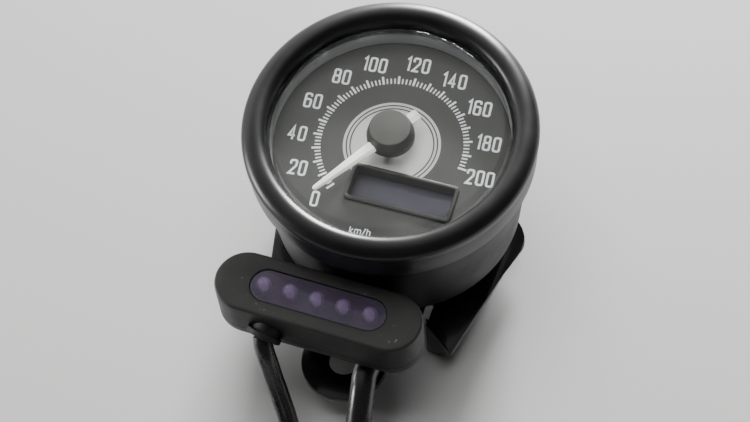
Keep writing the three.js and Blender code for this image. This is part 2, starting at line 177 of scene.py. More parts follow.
def fillet(points, radius, closed=True, steps=5):
    """Rounds a polygon's corners. radius is one number, or one for each corner."""
    count = len(points)
    radii = [radius] * count if isinstance(radius, (int, float)) else list(radius)
    rounded = []
    for i, (x, y) in enumerate(points):
        if (not closed and i in (0, count - 1)) or radii[i] <= 0:
            rounded.append((x, y))
            continue
        corner = Vector((x, y))
        back = Vector(points[i - 1]) - corner
        onward = Vector(points[(i + 1) % count]) - corner
        half = back.angle(onward) / 2
        reach = min(radii[i] / tan(half), 0.48 * back.length, 0.48 * onward.length)
        start = corner + back.normalized() * reach
        end = corner + onward.normalized() * reach
        for k in range(steps + 1):
            t = k / steps
            p = start * (1 - t) ** 2 + corner * 2 * t * (1 - t) + end * t * t
            rounded.append((p.x, p.y))
    return rounded


def arc_points(cx, cy, radius, start, end, steps):
    """Points on an arc, with its angles in degrees."""
    angles = [radians(start + (end - start) * i / steps) for i in range(steps + 1)]
    return [(cx + radius * cos(a), cy + radius * sin(a)) for a in angles]


def rectangle(w, h):
    """The corners of a rectangle, from half its width and half its height."""
    return [(-w, -h), (w, -h), (w, h), (-w, h)]


def stadium(length, width, z, x=0.0, y=0.0):
    """A pill-shaped ring of points."""
    straight = (length - width) / 2
    right = arc_points(x + straight, y, width / 2, -90, 90, 24)
    left = arc_points(x - straight, y, width / 2, 90, 270, 24)
    return [(px, py, z) for px, py in right + left]


def rounded_box(width, depth, low, high, corner, edge, x=0.0, y=0.0):
    """Points and faces of a box with rounded upright corners and softened rims."""
    w, d = width / 2, depth / 2
    outline = fillet(rectangle(w, d), corner)
    rim = [(edge - c, edge + s) for c, s in arc_points(0, 0, edge, -90, 0, 4)]
    levels = [(inset, low + rise) for inset, rise in rim]
    levels += [(inset, high - rise) for inset, rise in reversed(rim)]
    rings = []
    for inset, z in levels:
        scale_x = (w - inset) / w
        scale_y = (d - inset) / d
        rings.append([(x + px * scale_x, y + py * scale_y, z) for px, py in outline])
    return loft(rings)


def plate(outlines, low, high, edge, cuts):
    """A flat sheet from an outline and its holes, as a mesh, with its rims rounded by edge. It gets a row of
    edges at each x in cuts, so that it can be bent there."""
    curve = bpy.data.curves.new("outline", "CURVE")
    curve.dimensions = "2D"
    curve.fill_mode = "BOTH"
    for outline in outlines:
        spline = curve.splines.new("POLY")
        spline.points.add(len(outline) - 1)
        spline.use_cyclic_u = True
        for point, (x, y) in zip(spline.points, outline):
            point.co = (x, y, 0, 1)
    holder = bpy.data.objects.new("outline", curve)
    mesh = bpy.data.meshes.new_from_object(holder)
    bpy.data.objects.remove(holder)
    bpy.data.curves.remove(curve)
    shape = bmesh.new()
    shape.from_mesh(mesh)
    bmesh.ops.remove_doubles(shape, verts=shape.verts, dist=0.001)
    for x in cuts:
        everything = shape.verts[:] + shape.edges[:] + shape.faces[:]
        bmesh.ops.bisect_plane(
            shape, geom=everything, dist=1e-5, plane_co=(x, 0, 0), plane_no=(1, 0, 0)
        )
    for vert in shape.verts:
        vert.co.z = low
    grown = bmesh.ops.extrude_face_region(shape, geom=shape.faces[:])
    for vert in [g for g in grown["geom"] if isinstance(g, bmesh.types.BMVert)]:
        vert.co.z = high
    bmesh.ops.recalc_face_normals(shape, faces=shape.faces)
    rims = [e for e in shape.edges if e.is_manifold and e.calc_face_angle() > radians(60)]
    bmesh.ops.bevel(shape, geom=rims, offset=edge, segments=2, profile=0.5, affect="EDGES")
    shape.to_mesh(mesh)
    shape.free()
    return mesh


def move_mesh(mesh, change=None):
    """Takes a mesh from millimetres at the dial's centre to its place, through change if it is given."""
    for vert in mesh.vertices:
        x, y, z = change(*vert.co) if change else vert.co
        vert.co = at(x, y, z)
    return mesh


def cut(piece, *cutters):
    """Cuts other objects out of a piece, and removes them."""
    for cutter in cutters:
        step = piece.modifiers.new("cut", "BOOLEAN")
        step.operation = "DIFFERENCE"
        step.solver = "EXACT"
        step.object = cutter
    bpy.context.view_layer.update()
    depsgraph = bpy.context.evaluated_depsgraph_get()
    done = bpy.data.meshes.new_from_object(piece.evaluated_get(depsgraph))
    piece.modifiers.clear()
    piece.data = done
    for cutter in cutters:
        bpy.data.objects.remove(cutter)
    shade(done)


def cutter_from(shape):
    return in_scene("cutter", mesh_from("cutter", shape))


def aimed(points, direction, x, y, z):
    """Points made along +Z, turned to a direction and moved to a place."""
    turn = Vector((0, 0, 1)).rotation_difference(Vector(direction))
    return [tuple(turn @ Vector(p) + Vector((x, y, z))) for p in points]


def spun(points, angle, x=0.0, y=0.0):
    """Points turned about Z and then moved."""
    c, s = cos(angle), sin(angle)
    return [(x + px * c - py * s, y + px * s + py * c, pz) for px, py, pz in points]


def moved(shape, change, *how):
    """A shape with its points changed by aimed or spun."""
    return change(shape[0], *how), shape[1]


def joined(*shapes):
    """Several shapes as one."""
    points, faces = [], []
    for more_points, more_faces in shapes:
        start = len(points)
        points += more_points
        faces += [tuple(i + start for i in face) for face in more_faces]
    return points, faces


# ---- Camera ----
CAMERA_PLACE = (98.8, -217.4, 404.7)
CAMERA_RIGHT = (0.943, 0.327, -0.063)
CAMERA_UP = (-0.258, 0.838, 0.480)
FOCAL_LENGTH = 111.2  # on a sensor 36 mm wide


def add_camera():
    right = Vector(CAMERA_RIGHT).normalized()
    back = right.cross(Vector(CAMERA_UP)).normalized()
    up = back.cross(right)
    camera = in_scene("camera", bpy.data.cameras.new("camera"))
    turn = Matrix((right, up, back)).transposed()
    camera.matrix_world = Matrix.Translation(at(*CAMERA_PLACE)) @ turn.to_4x4()
    camera.data.sensor_width = 36
    camera.data.lens = FOCAL_LENGTH
    camera.data.clip_start = 0.01
    camera.data.clip_end = 10
    bpy.context.scene.camera = camera


add_camera()


# ---- Materials ----
DUST = (0.32, 0.31, 0.29, 1.0)
GRAZING_MIRROR = 0.6  # what a clear sheet mirrors when it is seen edge on


def shader_tree(name):
    """A new material, its nodes and the function that links two sockets."""
    material = bpy.data.materials.new(name)
    material.use_nodes = True
    return material, material.node_tree.nodes, material.node_tree.links.new


def fill(node, **sockets):
    """Sets a node's sockets. An underscore in a name stands for a space."""
    for socket, value in sockets.items():
        node.inputs[socket.replace("_", " ")].default_value = value
    return node


def surface(
    name, colour, roughness, patch, grain, spread=0.18, bump=0.0, edge=0.0, dust=0.0, **sockets
):
    """A procedural finish. Colour and roughness drift over patches of `patch` millimetres, and a grain of
    `grain` millimetres is felt as bump. edge lightens the edges as a painted highlight along them, and dust
    adds fine pale specks. A colour of one number is a grey."""
    rgb = colour if isinstance(colour, tuple) else [colour] * 3
    material, nodes, link = shader_tree(name)
    shader = fill(nodes["Principled BSDF"], **sockets)
    place = nodes.new("ShaderNodeTexCoord").outputs["Object"]

    def noise(size, detail=3.0):
        node = fill(nodes.new("ShaderNodeTexNoise"), Scale=1 / (size * MM), Detail=detail)
        link(place, node.inputs["Vector"])
        return node.outputs["Fac"]

    def ranged(source, low, high, start=0.3, end=0.7):
        node = nodes.new("ShaderNodeMapRange")
        fill(node, From_Min=start, From_Max=end, To_Min=low, To_Max=high)
        link(source, node.inputs["Value"])
        return node.outputs["Result"]

    def mixed(share, a, b):
        node = nodes.new("ShaderNodeMix")
        node.data_type = "RGBA"
        link(share, node.inputs["Factor"])
        for socket, value in ((node.inputs["A"], a), (node.inputs["B"], b)):
            if isinstance(value, tuple):
                socket.default_value = value
            else:
                link(value, socket)
        return node.outputs["Result"]

    def tone(factor):
        return (*(min(c * factor, 1.0) for c in rgb), 1.0)

    drift = noise(patch)
    base = mixed(ranged(drift, 0, 1), tone(1 - spread), tone(1 + spread))
    if edge > 0:
        # A lighter tone where the surface is pointy: a painted highlight along the edges.
        geometry = nodes.new("ShaderNodeNewGeometry")
        painted_edge_highlight = ranged(geometry.outputs["Pointiness"], 0, 1, 0.52, 0.6)
        base = mixed(painted_edge_highlight, base, tone(1 + edge))
    if dust > 0:
        specks = ranged(noise(0.9, 6.0), 0, dust, 0.68, 0.76)
        base = mixed(specks, base, DUST)
    link(base, shader.inputs["Base Color"])
    fine = noise(grain, 4.0)
    smear = nodes.new("ShaderNodeMath")
    smear.operation = "ADD"
    link(ranged(drift, roughness * 0.85, roughness * 1.1), smear.inputs[0])
    link(ranged(fine, 0, roughness * 0.12), smear.inputs[1])
    link(smear.outputs["Value"], shader.inputs["Roughness"])
    if bump > 0:
        relief = fill(nodes.new("ShaderNodeBump"), Strength=bump, Distance=grain * MM * 0.5)
        link(fine, relief.inputs["Height"])
        link(relief.outputs["Normal"], shader.inputs["Normal"])
    return material


def clear_sheet(name, tint, gloss, mirror):
    """A thin clear skin: what is behind it shows through unbent, under a reflection that grows at grazing
    angles."""
    material, nodes, link = shader_tree(name)
    nodes.remove(nodes["Principled BSDF"])
    through = fill(nodes.new("ShaderNodeBsdfTransparent"), Color=(*tint, 1.0))
    shine = fill(nodes.new("ShaderNodeBsdfGlossy"), Roughness=gloss)
    facing = fill(nodes.new("ShaderNodeLayerWeight"), Blend=0.5)
    steep = nodes.new("ShaderNodeMath")
    steep.operation = "POWER"
    steep.inputs[1].default_value = 4
    link(facing.outputs["Facing"], steep.inputs[0])
    edge = fill(nodes.new("ShaderNodeMapRange"), To_Min=mirror, To_Max=GRAZING_MIRROR)
    link(steep.outputs["Value"], edge.inputs["Value"])
    mix = nodes.new("ShaderNodeMixShader")
    link(edge.outputs["Result"], mix.inputs["Fac"])
    link(through.outputs["BSDF"], mix.inputs[1])
    link(shine.outputs["BSDF"], mix.inputs[2])
    link(mix.outputs["Shader"], nodes["Material Output"].inputs["Surface"])
    return material


# Black plastics, rubber and steel
BEZEL_BLACK = surface("bezel_black", 0.005, 0.33, 9, 0.12, bump=0.01)
CASE_BLACK = surface("case_black", 0.006, 0.42, 7, 0.25, bump=0.04, Specular_IOR_Level=0.25)
HOUSING_BLACK = surface("housing_black", (0.014, 0.014, 0.0135), 0.48, 5, 0.22, bump=0.1, dust=0.35)
# Its edge setting paints a highlight along the sheet's edges.
STEEL_BLACK = surface(
    "bracket_black", 0.004, 0.2, 8, 0.5, bump=0.03, edge=1.5,
    Coat_Weight=0.3, Coat_Roughness=0.08,
)
FOOT_BLACK = surface(
    "bracket_foot_black", (0.04, 0.04, 0.038), 0.55, 1.2, 0.35, spread=0.35, bump=0.3, dust=0.15
)
RUBBER = surface("soft_rubber", 0.009, 0.6, 3, 0.2, bump=0.15)
CABLE_BLACK = surface("cable_sheath", 0.008, 0.26, 9, 0.35, bump=0.04, Specular_IOR_Level=1.0)
PLUG_BLACK = surface("plug_nylon", 0.03, 0.5, 4, 0.18, bump=0.12)
FOAM = surface("foam_tape", 0.03, 0.95, 1, 0.25, spread=0.3, bump=0.6)
# The dial, its printing, the display and the pointer
DIAL_INK = surface("dial_ink", (0.045, 0.045, 0.0435), 0.45, 12, 0.4, spread=0.1)
PRINT_WHITE = surface("print_white", (0.74, 0.76, 0.78), 0.5, 3, 0.3, spread=0.05)
PRINT_SILVER = surface("print_silver", (0.5, 0.5, 0.495), 0.38, 5, 0.3, spread=0.05, Metallic=0.2)
PRINT_LINE = surface("print_line", 0.02, 0.5, 3, 0.3, spread=0.05)
DISPLAY_FRAME = surface("display_surround", (0.033, 0.033, 0.031), 0.35, 4, 0.4)
DISPLAY_PANEL = surface("display_panel", (0.055, 0.053, 0.072), 0.2, 12, 0.5, spread=0.3)
TRIM_GREY = surface("trim_grey", (0.5, 0.51, 0.52), 0.3, 6, 0.4, spread=0.06, Metallic=0.2)
HUB_GREY = surface("hub_grey", (0.05, 0.05, 0.045), 0.45, 3, 0.4, spread=0.08)
# The pointer's weak emission is painted light that brightens it.
NEEDLE_WHITE = surface(
    "needle_white", (0.95, 0.94, 0.88), 0.35, 4, 0.3, spread=0.03,
    Emission_Color=(1.0, 0.97, 0.88, 1.0), Emission_Strength=0.3,
)
TAIL_CLEAR = surface("tail_clear", (0.85, 0.84, 0.78), 0.25, 2, 0.12, spread=0.08, bump=0.05, Alpha=0.45)
LENS_CLEAR = clear_sheet("lens_clear", (0.97, 0.975, 0.97), 0.02, 0.035)
# The lamps and their window
LAMP_VIOLET = surface("lamp_violet", (0.36, 0.27, 0.47), 0.1, 1.5, 0.3, spread=0.3, Alpha=0.65)
# The lamps' chip cups: their emission is a painted highlight.
LAMP_PAINTED_HIGHLIGHT = surface(
    "lamp_painted_highlight", (0.5, 0.38, 0.62), 0.3, 0.8, 0.2, spread=0.3,
    Emission_Color=(0.58, 0.38, 0.78, 1.0), Emission_Strength=0.42,
)
LAMP_WELL = surface("lamp_well", (0.03, 0.023, 0.04), 0.35, 2.5, 0.3, spread=0.4, bump=0.05)
WINDOW_VIOLET = surface("window_violet", (0.062, 0.05, 0.076), 0.08, 8, 0.3, spread=0.15, Alpha=0.38)
# Fasteners and inner parts
ZINC = surface("zinc_plate", (0.55, 0.55, 0.56), 0.3, 2, 0.15, spread=0.12, bump=0.1, Metallic=1.0)
BOARD_GREEN = surface("solder_mask", (0.02, 0.13, 0.06), 0.35, 2, 0.4, spread=0.3, bump=0.2)
WHITE_PLASTIC = surface("white_plastic", (0.72, 0.71, 0.67), 0.45, 5, 0.2, spread=0.05, bump=0.08)


# ---- Leads ----
# A lead's route goes from where it leaves its piece to its coil.
HARNESS = {
    "name": "harness",
    "diameter": 5.2,
    "route": [
        (7.4, -36.5, -20), (7.3, -38.8, -20.2), (7.1, -41.2, -20.7), (7.6, -44.3, -21.6),
        (8.1, -47.2, -23.2), (8.5, -50.2, -25.4), (8.6, -53.8, -28.1), (8.4, -58, -31.1),
        (8.2, -63, -33.8), (8.1, -69, -35.2), (8, -75.7, -35.4),
    ],
    "coil": {"x": 36.6, "y": -76, "radius": 26, "start": 180, "way": 1, "plug": 318, "tie": 240},
    "plug": {"length": 22, "width": 12, "height": 8.2, "columns": 4},
}
INDICATOR = {
    "name": "indicator",
    "diameter": 4,
    "route": [
        (-13.3, -43.2, -12.1), (-12.95, -44.2, -12.9), (-12.5, -45, -13.9), (-11.9, -45.8, -15.2),
        (-11.25, -46.5, -16.8), (-10.6, -47.3, -18.5), (-9.9, -48.1, -20.6), (-9, -49, -23.1),
        (-8.1, -50, -25.7), (-7.1, -51.1, -28.1), (-6, -52.6, -30.4), (-4.6, -55.2, -32.9),
        (-3, -59.2, -35), (-1.7, -64.8, -35.9), (-0.6, -71.5, -36), (-0.1, -79, -36),
        (0, -86.7, -36),
    ],
    "coil": {"x": -22, "y": -87, "radius": 20, "start": 0, "way": -1, "plug": -128, "tie": -60},
    "plug": {"length": 14, "width": 8.6, "height": 6.2, "columns": 3},
}
LAYER = sin(pi / 3)  # how far a turn in the groove of two others stands above them, in diameters
# The degrees of a coil between which its cable crosses over
TO_INSIDE = (260, 320)
CLIMB = (545, 630)
TO_MIDDLE = (580, 650)
INTO_GROOVE = (675, 715)
TURN_STEP = 3  # degrees from one point of a coil to the next
PLUG_GAP = 0.6  # from the coil up to its plug
PLUG_RISE = 14  # degrees of the coil in which the cable bends up to its plug


def smooth_curve(points, step):
    """Points about `step` apart on a smooth curve through the given ones (centripetal Catmull-Rom)."""
    vectors = [Vector(p) for p in points]
    vectors = [vectors[0] * 2 - vectors[1], *vectors, vectors[-1] * 2 - vectors[-2]]
    line = []
    for a, b, c, d in zip(vectors, vectors[1:], vectors[2:], vectors[3:]):
        times = [0.0]
        for start, end in ((a, b), (b, c), (c, d)):
            times.append(times[-1] + max((end - start).length, 1e-6) ** 0.5)
        t0, t1, t2, t3 = times
        count = max(2, round((c - b).length / step))
        for i in range(count):
            t = t1 + (t2 - t1) * i / count
            ab = a.lerp(b, (t - t0) / (t1 - t0))
            bc = b.lerp(c, (t - t1) / (t2 - t1))
            cd = c.lerp(d, (t - t2) / (t3 - t2))
            abc = ab.lerp(bc, (t - t0) / (t2 - t0))
            bcd = bc.lerp(cd, (t - t1) / (t3 - t1))
            line.append(abc.lerp(bcd, (t - t1) / (t2 - t1)))
    return [*line, vectors[-2]]


def eased(value, start, end):
    t = min(max((value - start) / (end - start), 0.0), 1.0)
    return t * t * (3 - 2 * t)


def on_coil(coil, angle, radius):
    return coil["x"] + radius * cos(angle), coil["y"] + radius * sin(angle)


def coil_point(travelled, coil, diameter):
    """Where the cable is after turning by `travelled` degrees: outside, then inside, then on top of both."""
    half = diameter / 2
    inward = eased(travelled, *TO_INSIDE)
    outward = eased(travelled, *TO_MIDDLE)
    radius = coil["radius"] + half - diameter * inward + half * outward
    climb = eased(travelled, *CLIMB) - (1 - LAYER) * eased(travelled, *INTO_GROOVE)
    angle = radians(coil["start"] + coil["way"] * travelled)
    return Vector((*on_coil(coil, angle, radius), FLOOR + half + diameter * climb))


def plug_frame(lead):
    """A plug's centre, the way the cable runs into it, and the way to its side, on top of its coil."""
    coil = lead["coil"]
    angle = radians(coil["plug"])
    height = FLOOR + lead["diameter"] + PLUG_GAP + lead["plug"]["height"] / 2
    centre = Vector((*on_coil(coil, angle, coil["radius"]), height))
    along = Vector((-sin(angle), cos(angle), 0)) * coil["way"]
    side = Vector((cos(angle), sin(angle), 0))
    return centre, along, side


def lead_line(lead):
    coil, plug, diameter = lead["coil"], lead["plug"], lead["diameter"]
    line = smooth_curve(lead["route"], 1.0)
    half_plug = degrees(atan(plug["length"] / 2 / coil["radius"]))
    total = (coil["plug"] - coil["start"]) * coil["way"] % 360 + 2 * 360 - half_plug - PLUG_RISE
    travels = range(TURN_STEP, int(total), TURN_STEP)
    turns = [coil_point(travelled, coil, diameter) for travelled in travels]
    line += turns
    # The last stretch bends up into the plug's back.
    centre, along, _ = plug_frame(lead)
    mouth = centre - along * (plug["length"] / 2 - 1)
    start, pull = turns[-1], (turns[-1] - turns[-2]).normalized()
    reach = (mouth - start).length
    after, before = start + pull * reach * 0.4, mouth - along * reach * 0.4
    for i in range(1, 11):
        t = i / 10
        bend = start * (1 - t) ** 3 + after * 3 * t * (1 - t) ** 2
        line.append(bend + before * 3 * t * t * (1 - t) + mouth * t**3)
    return line


def add_plug(lead):
    """A nylon connector with its latch, its ribs, its row of cavities and a boot at the cable's end."""
    plug, name = lead["plug"], lead["name"]
    centre, along, across = plug_frame(lead)
    turn = Matrix((across, along, Vector((0, 0, 1)))).transposed()
    length, width, height = plug["length"], plug["width"], plug["height"]

    def placed(shape):
        points, faces = shape
        return [tuple(turn @ Vector(p) + centre) for p in points], faces

    half = height / 2
    body = rounded_box(width, length - 3, -half, half, 0.8, 0.35, y=1.5)
    collar = rounded_box(width - 1.6, 4, -half + 0.7, half - 0.7, 1.2, 0.3, y=2 - length / 2)
    ribs = [
        rounded_box(0.7, length * 0.5, half - 0.2, half + 0.35, 0.2, 0.1, x=side * width * 0.42, y=0.5)
        for side in (-1, 1)
    ]
    shell = object_from(f"{name}_plug_body", placed(body), PLUG_BLACK, f"{name}_plug")
    pitch = (width - 2) / plug["columns"]
    reach = height * 0.15
    holes = []
    for column in range(plug["columns"]):
        x = (column - (plug["columns"] - 1) / 2) * pitch
        for row in (-1, 1):
            z = row * height * 0.22
            hole = rounded_box(pitch * 0.66, 7, z - reach, z + reach, 0.15, 0.1, x=x, y=length / 2)
            holes.append(cutter_from(placed(hole)))
    cut(shell, *holes)
    latch = joined(
        rounded_box(width * 0.4, length * 0.55, half + 0.5, half + 1.3, 0.4, 0.2, y=0.5),
        rounded_box(width * 0.4, 1.4, half - 0.2, half + 0.9, 0.3, 0.2, y=length * 0.27),
        rounded_box(width * 0.3, 1.0, half + 1.0, half + 1.4, 0.2, 0.1, y=-length * 0.17),
    )
    trim = placed(joined(collar, latch, *ribs))
    trim = object_from(f"{name}_plug_latch", trim, PLUG_BLACK)
    boot = []
    for i in range(25):
        swell = 0.9 - 0.5 * i / 24 + (0.18 if i % 4 < 2 else 0)
        boot.append((lead["diameter"] / 2 + swell, 0.3 * i))
    boot = turned(boot, segments=SMALL, closed=False)
    boot = moved(boot, aimed, -along, *(centre - along * (length / 2 - 2)))
    boot = object_from(f"{name}_plug_boot", boot, RUBBER)
    return [shell, trim, boot]


def add_tie(lead):
    """A cable tie round the three turns, with its head."""
    coil, diameter, name = lead["coil"], lead["diameter"], lead["name"]
    angle = radians(coil["tie"])
    half = diameter / 2 + 0.35
    centres = [(-diameter * 0.5, 0), (diameter * 0.5, 0), (0, diameter * LAYER)]
    loop = []
    for (cx, cy), start in zip(centres, (150, -90, 30)):
        loop += arc_points(cx, cy, half, start, start + 120, 12)
    loop = [(x, max(y, 0.3 - diameter / 2)) for x, y in loop]
    inner = [(x * 0.93, y * 0.93 + 0.1) for x, y in loop]
    rings = []
    for outline, sideways in ((loop, -1.1), (loop, 1.1), (inner, 1.1), (inner, -1.1)):
        rings.append([(x, sideways, y) for x, y in outline])
    band = loft(rings, closed=True)
    low = diameter * 0.25
    head = rounded_box(3.4, 3.6, low, low + 2.2, 0.4, 0.3, x=diameter * 0.95)
    points, faces = moved(joined(band, head), spun, angle, *on_coil(coil, angle, coil["radius"]))
    points = [(x, y, z + FLOOR + diameter / 2) for x, y, z in points]
    return object_from(f"{name}_tie", (points, faces), PLUG_BLACK)


def add_lead(lead):
    name, diameter = lead["name"], lead["diameter"]
    line = lead_line(lead)
    curve = bpy.data.curves.new(f"{name}_cable", "CURVE")
    curve.dimensions = "3D"
    curve.bevel_depth = diameter / 2 * MM
    curve.bevel_resolution = 6
    curve.use_fill_caps = True
    spline = curve.splines.new("POLY")
    spline.points.add(len(line) - 1)
    for point, place in zip(spline.points, line):
        point.co = (*at(*place), 1)
    spline.use_smooth = True
    cable = in_scene(f"{name}_cable", curve)
    curve.materials.append(CABLE_BLACK)
    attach(cable, METER)
    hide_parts(f"{name}_lead", f"{name}_coil")
    on_it = [*add_plug(lead), add_tie(lead)]


add_lead(HARNESS)
add_lead(INDICATOR)


# ---- Meter front ----
BEZEL_SHOULDER = 6.4  # where the ring's straight wall ends
BEZEL_LEAN = 0.3  # the crown is highest a little inside its middle
LENS_EDGE = 24.82
LENS_TOP = 8.5
LENS_SAG = 1.1  # how far the dome falls to its edge
LENS_BAND = 22.9  # where the sloping band starts
BAND_SLOPE = 0.46
BAND_EASE = 0.4
EDGE_START = 24.45  # where the lens's rounded edge starts
EDGE_WIDTH = 0.38
EDGE_DROP = 0.35
LENS_BORE = LENS_EDGE - 0.9
LENS_FOOT = 3.4


def add_bezel():
    middle = (BEZEL_RADIUS + BEZEL_LIP) / 2
    half = (BEZEL_RADIUS - BEZEL_LIP) / 2
    rise = BEZEL_CROWN - BEZEL_SHOULDER
    crown = []
    for i in range(33):
        angle = pi * i / 32
        radius = middle + half * cos(angle) - BEZEL_LEAN * sin(angle) ** 2
        crown.append((radius, BEZEL_SHOULDER + rise * sin(angle)))
    foot = [(BEZEL_LIP, BEZEL_FOOT), (BAND_RADIUS, BEZEL_FOOT), (29.85, 5.16), (29.96, 5.28)]
    foot.append((BEZEL_RADIUS, 5.45))
    object_from("bezel_ring", turned([*foot, *crown]), BEZEL_BLACK, "bezel")


def add_front_case():
    ledge = [(26.1, -0.6), (26.1, -3.5), (23.8, -3.5), (23.8, -1.1), (25.1, -1.1), (25.1, 0.2), (26, 0.2)]
    band = [(26, 4.8), (BAND_RADIUS, 4.8), (BAND_RADIUS, -0.6)]
    corners = [0, 0.2, 0.2, 0, 0, 0, 0, 0.35, 0.3, 0.5]
    profile = fillet([*ledge, *band], corners)
    object_from("case_band", turned(profile), BEZEL_BLACK, "front_case")


def lens_height(radius):
    """A shallow dome with a sloping band round it, then a rounded edge down to the rim."""
    band = max(radius - LENS_BAND, 0)
    height = LENS_TOP - LENS_SAG * (radius / LENS_EDGE) ** 2 - BAND_SLOPE * band * min(band / BAND_EASE, 1)
    edge = max(radius - EDGE_START, 0) / EDGE_WIDTH
    return height - EDGE_DROP * (1 - sqrt(max(1 - edge**2, 0)))


def add_lens():
    fine = 22.4  # from here outwards the rings stand closer together
    radii = [LENS_EDGE * sin(pi / 2 * i / 48) for i in range(1, 49)]
    radii = [r for r in radii if r < fine] + [fine + (LENS_EDGE - fine) * i / 24 for i in range(25)]
    outer = [(r, lens_height(r)) for r in radii]
    inner = [(r, max(lens_height(r) - 1.2, 4.2)) for r in reversed(radii) if r < LENS_BORE]
    rim = [(LENS_EDGE, 5.0), (LENS_RADIUS, 4.4), (LENS_RADIUS, LENS_FOOT), (LENS_BORE, LENS_FOOT)]
    profile = [*outer, *fillet(rim, 0.15, closed=False), *inner]
    object_from("lens_dome", turned(profile, closed=False), LENS_CLEAR, "lens")


def add_trim():
    profile = fillet([(24.3, 0.2), (25.6, 0.2), (25.6, 3.1), (24.75, 3.1)], 0.12)
    object_from("trim_cone", turned(profile), TRIM_GREY, "trim_ring")


# ---- Dial printing ----
PRINT_LOW = 0.01
PRINT_HIGH = 0.05
STROKE_STEP = 0.004  # from one stroke of a glyph up to the next
NUMBER_TURN = radians(6.5)
NUMBER_RADIUS = 19.6
# The numbers stand a few degrees off their marks, as they were printed.
NUMBER_LEAN = {100: 3.7, 140: 0.4, 160: -0.3, 180: -1.6, 200: -1.8}
USUAL_LEAN = 1.3


def ribbon(points, width, closed=False, low=PRINT_LOW, high=PRINT_HIGH):
    """A flat stroke of ink along a path, with mitred corners."""
    count = len(points)
    sides = []
    for i, (x, y) in enumerate(points):
        before = points[i - 1] if closed or i > 0 else None
        after = points[(i + 1) % count] if closed or i < count - 1 else None
        here = Vector((x, y))
        into = (here - Vector(before)).normalized() if before else (Vector(after) - here).normalized()
        out = (Vector(after) - here).normalized() if after else into
        normal = Vector((-(into.y + out.y), into.x + out.x)).normalized()
        spread = min(1 / max(normal.dot(Vector((-into.y, into.x))), 0.35), 2.2)
        offset = normal * width / 2 * spread
        sides.append((here + offset, here - offset))
    rings = [[(a.x, a.y, low), (b.x, b.y, low), (b.x, b.y, high), (a.x, a.y, high)] for a, b in sides]
    return loft(rings, closed)


# A glyph is its width and its strokes, in a box one unit high. A stroke is its corners, their rounding and
# whether it is closed.
BIG = 0.34  # a numeral's outer corners
ARCH = [0, 0.3, 0.4, 0]  # the corners of an m's or an h's arch
GLYPHS = {
    "0": (1.0, [([(0, 0), (1, 0), (1, 1), (0, 1)], BIG, True)]),
    "1": (0.42, [([(0.0, 0.82), (0.42, 1.04), (0.42, -0.04)], 0, False)]),
    "2": (1.0, [([(0, 0.7), (0, 1), (1, 1), (1, 0.62), (0, 0), (1.02, 0)], [0, BIG, BIG, 0.3, 0, 0], False)]),
    "4": (1.08, [([(0.72, -0.04), (0.72, 1), (0.02, 0.27), (1.08, 0.27)], 0, False)]),
    "6": (1.0, [
        ([(0, 0), (1, 0), (1, 0.58), (0, 0.58)], 0.3, True),
        ([(0, 0.3), (0, 1), (0.96, 1), (0.96, 0.8)], [0, BIG, 0.3, 0], False),
    ]),
    "8": (1.0, [
        ([(0, 0), (1, 0), (1, 0.53), (0, 0.53)], 0.3, True),
        ([(0.05, 0.53), (0.95, 0.53), (0.95, 1), (0.05, 1)], 0.3, True),
    ]),
    "k": (0.8, [([(0, 0), (0, 1.35)], 0, False), ([(0.78, 0.95), (0.08, 0.42), (0.82, 0)], 0, False)]),
    "m": (1.5, [
        ([(0, 0), (0, 0.95), (0.75, 0.95), (0.75, 0)], ARCH, False),
        ([(0.75, 0.5), (0.75, 0.95), (1.5, 0.95), (1.5, 0)], ARCH, False),
    ]),
    "/": (0.6, [([(0, -0.15), (0.6, 1.4)], 0, False)]),
    "h": (0.8, [
        ([(0, 0), (0, 1.35)], 0, False),
        ([(0, 0.4), (0, 0.95), (0.8, 0.95), (0.8, 0)], ARCH, False),
    ]),
}


def lettering(text, x, y, angle, width, height, stroke, space):
    """Strokes of a line of glyphs, centred on a point and turned by angle."""
    advance = [GLYPHS[c][0] * width for c in text]
    total = sum(advance) + space * (len(text) - 1)
    cursor = -total / 2
    shapes = []
    for character, wide in zip(text, advance):
        for level, (corners, rounding, closed) in enumerate(GLYPHS[character][1]):
            path = [(px * width, py * height) for px, py in corners]
            rounding = rounding if isinstance(rounding, list) else [rounding] * len(path)
            radii = [r * width for r in rounding]
            path = fillet(path, radii, closed, steps=3)
            path = [(px + cursor, py - height / 2) for px, py in path]
            ink = ribbon(path, stroke, closed, high=PRINT_HIGH + STROKE_STEP * level)
            shapes.append(moved(ink, spun, angle, x, y))
        cursor += wide + space
    return joined(*shapes)


def mark_angle(index):
    return ZERO_ANGLE + STEP_ANGLE * index


def add_scale():
    """A thick mark every 10 km/h with three thin ones between them, and a number every 20 km/h."""
    marks = []
    for i in range(81):
        inner, outer, width = (14.5, 16.35, 0.44) if i % 4 == 0 else (14.55, 15.75, 0.3)
        marks.append(moved(ribbon([(inner, 0), (outer, 0)], width), spun, mark_angle(i)))
    object_from("scale_marks", joined(*marks), PRINT_WHITE)

    numbers = []
    for value in range(0, 201, 20):
        angle = mark_angle(value / 2.5) + radians(NUMBER_LEAN.get(value, USUAL_LEAN))
        x, y = NUMBER_RADIUS * cos(angle), NUMBER_RADIUS * sin(angle)
        numbers.append(lettering(str(value), x, y, NUMBER_TURN, 1.2, 3.1, 0.45, 0.84))
    object_from("scale_numbers", joined(*numbers), PRINT_WHITE)
    unit = lettering("km/h", 0.4, -20.9, NUMBER_TURN, 0.8, 1.05, 0.2, 0.4)
    object_from("scale_unit", unit, PRINT_WHITE)


